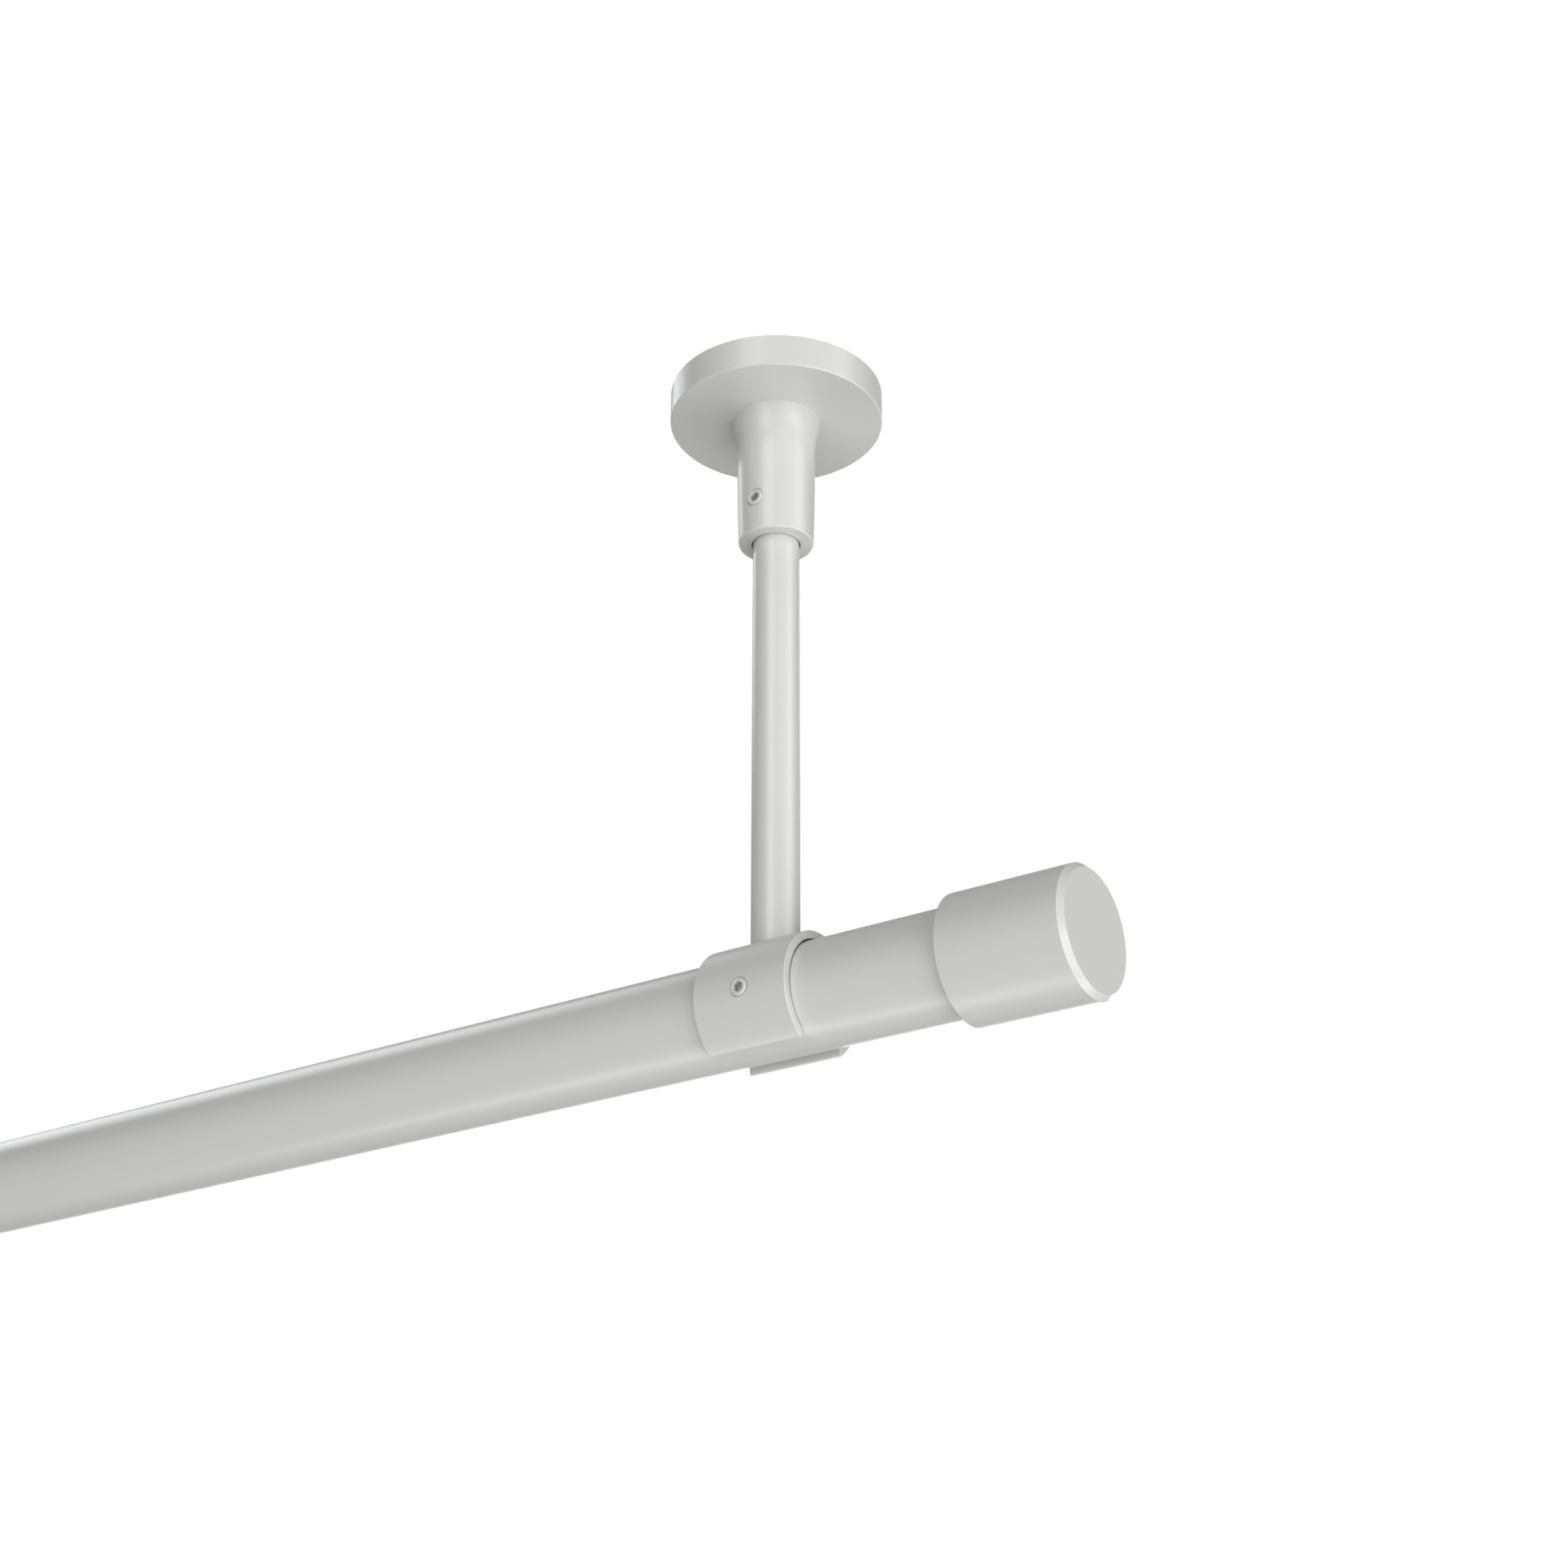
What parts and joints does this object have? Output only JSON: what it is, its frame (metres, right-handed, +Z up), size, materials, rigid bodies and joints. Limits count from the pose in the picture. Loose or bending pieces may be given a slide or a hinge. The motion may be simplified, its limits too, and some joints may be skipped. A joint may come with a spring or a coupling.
{
  "type": "curtain rod",
  "caption": "Round tube curtain rod hung from the ceiling on flared brackets with height-adjustable stems, open saddle clips locked by set screws, and chamfered slip-over end caps.",
  "frame": {"origin": "on the ceiling plane, midway between the two brackets", "axes": "+Z up towards the ceiling, X along the rod, -Y the side that the set screws face"},
  "size_m": [1.206, 0.06, 0.2009],
  "materials": {
    "white_paint": "satin powder coat, slightly warm white",
    "screw_paint": "satin, the same white",
    "zinc_plate": "zinc plated",
    "grip_rubber": "matt"
  },
  "bodies": {
    "root": {"right_mounting_plate": "zinc_plate", "right_rosette": "white_paint", "right_sleeve": "white_paint", "left_mounting_plate": "zinc_plate", "left_rosette": "white_paint", "left_sleeve": "white_paint"},
    "right_hanger": {"right_stem": "white_paint", "right_saddle": "white_paint", "right_stem_screw": "zinc_plate"},
    "left_hanger": {"left_stem": "white_paint", "left_saddle": "white_paint", "left_stem_screw": "zinc_plate"},
    "rod": {"rod_tube": "white_paint"},
    "right_cap": {"right_end_cap": "white_paint", "right_cap_grip_ring": "grip_rubber"},
    "left_cap": {"left_end_cap": "white_paint", "left_cap_grip_ring": "grip_rubber"},
    "right_sleeve_screw": {"right_sleeve_set_screw": "screw_paint"},
    "left_sleeve_screw": {"left_sleeve_set_screw": "screw_paint"},
    "right_saddle_screw": {"right_saddle_set_screw": "screw_paint"},
    "left_saddle_screw": {"left_saddle_set_screw": "screw_paint"}
  },
  "joints": [
    {"name": "right_drop", "type": "slide", "parent": "root", "child": "right_hanger", "axis": [0, 0, 1], "range_m": [-0.006, 0.0075]},
    {"name": "left_drop", "type": "slide", "parent": "root", "child": "left_hanger", "axis": [0, 0, 1], "range_m": [-0.006, 0.0075]},
    {"name": "rod_slide", "type": "slide", "parent": "right_hanger", "child": "rod", "axis": [1, 0, 0], "range_m": [-0.04, 0.04]},
    {"name": "right_cap_pull", "type": "slide", "parent": "rod", "child": "right_cap", "axis": [1, 0, 0], "range_m": [0, 0.04]},
    {"name": "left_cap_pull", "type": "slide", "parent": "rod", "child": "left_cap", "axis": [-1, 0, 0], "range_m": [0, 0.04]},
    {"name": "right_sleeve_screw_turn", "type": "hinge", "parent": "root", "child": "right_sleeve_screw", "pos_m": [0.512, -0.0106, -0.0387], "axis": [0, -1, 0], "range_deg": [0, 720]},
    {"name": "left_sleeve_screw_turn", "type": "hinge", "parent": "root", "child": "left_sleeve_screw", "pos_m": [-0.512, -0.0106, -0.0387], "axis": [0, -1, 0], "range_deg": [0, 720]},
    {"name": "right_saddle_screw_turn", "type": "hinge", "parent": "right_hanger", "child": "right_saddle_screw", "pos_m": [0.512, -0.0165, -0.1841], "axis": [0, -1, 0], "range_deg": [0, 720]},
    {"name": "left_saddle_screw_turn", "type": "hinge", "parent": "left_hanger", "child": "left_saddle_screw", "pos_m": [-0.512, -0.0165, -0.1841], "axis": [0, -1, 0], "range_deg": [0, 720]}
  ],
  "couplings": [
    {"joint": "left_drop", "follows": "right_drop", "ratio": 1}
  ]
}
